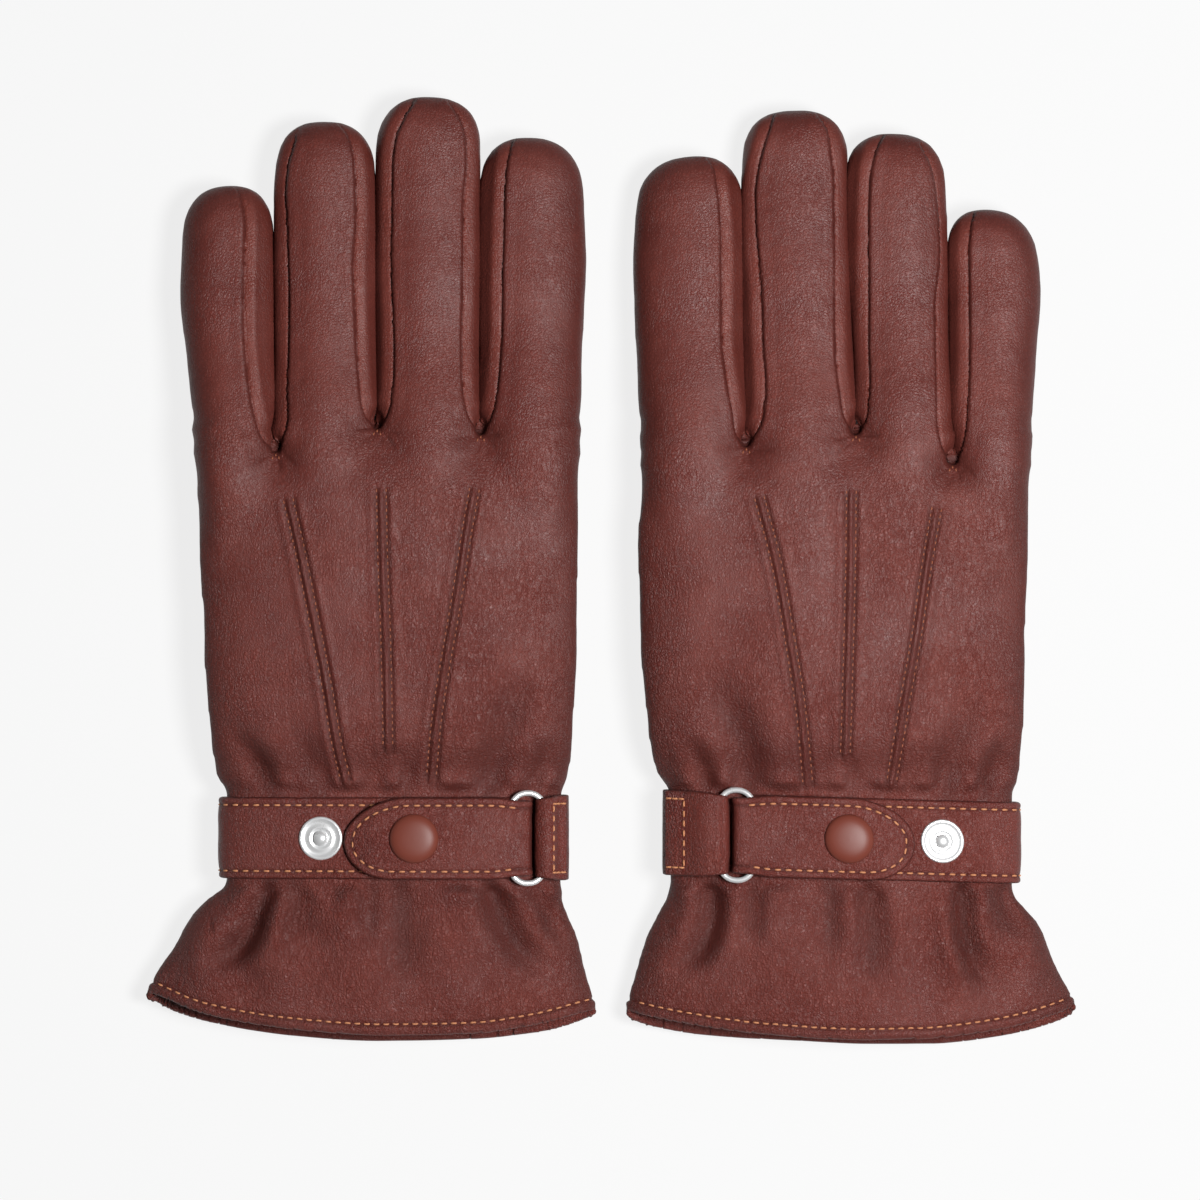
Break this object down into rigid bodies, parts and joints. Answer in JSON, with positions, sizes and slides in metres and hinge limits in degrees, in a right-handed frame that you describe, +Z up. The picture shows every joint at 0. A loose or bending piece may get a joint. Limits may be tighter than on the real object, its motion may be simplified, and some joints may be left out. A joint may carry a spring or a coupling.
{
  "type": "pair of leather gloves",
  "caption": "Pair of smooth leather dress gloves with stitched points, flared cuffs and a snap wrist strap turned back through an oval ring.",
  "frame": {"origin": "centre of the pair's bounding box, at the table that the gloves lie on", "axes": "+Y from the cuffs to the fingertips, +Z up from the table through the backs of the hands, +X from the left glove to the right glove"},
  "size_m": [0.2584, 0.2654, 0.0292],
  "materials": {
    "glove_leather": "smooth brown lambskin with a fine grain",
    "gusset_leather": "the same lambskin, cut as the strips between the fingers",
    "strap_leather": "folded and edge-stitched lambskin",
    "lining_fabric": "fine knitted lining",
    "elastic_webbing": "flat woven elastic",
    "bright_nickel": "polished nickel",
    "cap_enamel": "glossy brown enamel"
  },
  "bodies": {
    "left_glove": {"left_back_panel": "glove_leather", "left_palm_panel": "glove_leather", "left_thumb_panel": "glove_leather", "left_fourchette_little_ring": "gusset_leather", "left_fourchette_ring_middle": "gusset_leather", "left_fourchette_middle_index": "gusset_leather", "left_cuff_binding": "glove_leather", "left_lining": "lining_fabric", "left_wrist_elastic": "elastic_webbing", "left_closure_strap": "strap_leather", "left_keeper_loop": "strap_leather", "left_snap_stud_inner": "bright_nickel", "left_snap_stud_outer": "bright_nickel", "left_stud_post_inner": "bright_nickel", "left_stud_post_outer": "bright_nickel"},
    "left_ring": {"left_oval_ring": "bright_nickel"},
    "left_tab": {"left_closure_tab": "strap_leather", "left_snap_cap": "cap_enamel", "left_snap_socket": "bright_nickel"},
    "right_glove": {"right_back_panel": "glove_leather", "right_palm_panel": "glove_leather", "right_thumb_panel": "glove_leather", "right_fourchette_little_ring": "gusset_leather", "right_fourchette_ring_middle": "gusset_leather", "right_fourchette_middle_index": "gusset_leather", "right_cuff_binding": "glove_leather", "right_lining": "lining_fabric", "right_wrist_elastic": "elastic_webbing", "right_closure_strap": "strap_leather", "right_keeper_loop": "strap_leather", "right_snap_stud_inner": "bright_nickel", "right_snap_stud_outer": "bright_nickel", "right_stud_post_inner": "bright_nickel", "right_stud_post_outer": "bright_nickel"},
    "right_ring": {"right_oval_ring": "bright_nickel"},
    "right_tab": {"right_closure_tab": "strap_leather", "right_snap_cap": "cap_enamel", "right_snap_socket": "bright_nickel"}
  },
  "joints": [
    {"name": "left_ring_swing", "type": "hinge", "parent": "left_glove", "child": "left_ring", "pos_m": [-0.01864, -0.0742, 0.02087], "axis": [0, 1, 0], "range_deg": [0, 10]},
    {"name": "left_tab_open", "type": "hinge", "parent": "left_ring", "child": "left_tab", "pos_m": [-0.02806, -0.0742, 0.02272], "axis": [0, 1, 0], "range_deg": [0, 100]},
    {"name": "right_glove_lift", "type": "slide", "parent": "left_glove", "child": "right_glove", "axis": [0, 0, 1], "range_m": [0, 0.12]},
    {"name": "right_ring_swing", "type": "hinge", "parent": "right_glove", "child": "right_ring", "pos_m": [0.03017, -0.0742, 0.02255], "axis": [0, -1, 0], "range_deg": [0, 10]},
    {"name": "right_tab_open", "type": "hinge", "parent": "right_ring", "child": "right_tab", "pos_m": [0.03973, -0.0742, 0.02346], "axis": [0, -1, 0], "range_deg": [0, 100]}
  ]
}
